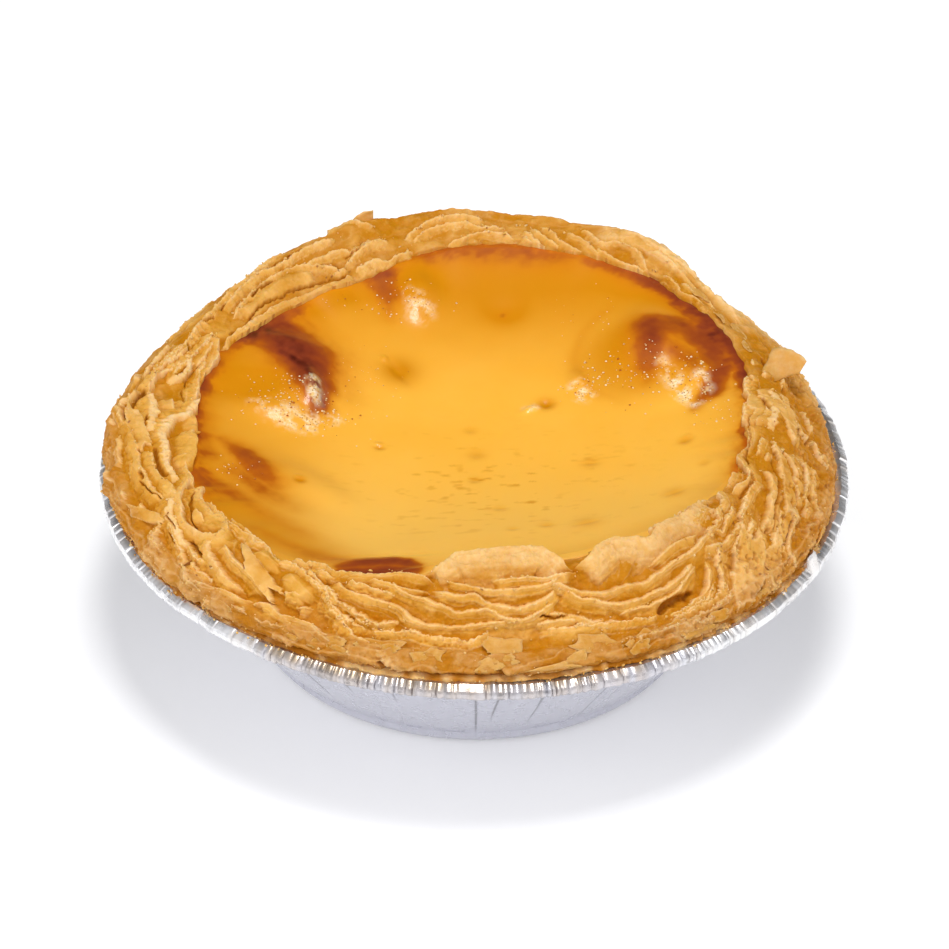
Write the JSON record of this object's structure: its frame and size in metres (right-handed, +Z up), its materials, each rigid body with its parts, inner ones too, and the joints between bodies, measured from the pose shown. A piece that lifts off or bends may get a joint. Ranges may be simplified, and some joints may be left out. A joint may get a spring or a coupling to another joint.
{
  "type": "egg tart",
  "caption": "Baked egg tart: sagging browned custard in a flaky layered pastry shell, sitting in its small flared foil cup with a curled lip.",
  "frame": {"origin": "centre of the foil cup's flat base, on the surface it stands on", "axes": "+Z up; +X is the tart's right and +Y its back as seen in the reference view"},
  "size_m": [0.079, 0.079, 0.0294],
  "materials": {
    "foil": "bright thin foil, lightly creased",
    "pastry": null,
    "custard": null
  },
  "bodies": {
    "root": {"foil_cup": "foil", "pastry_shell": "pastry", "custard": "custard"}
  },
  "joints": []
}
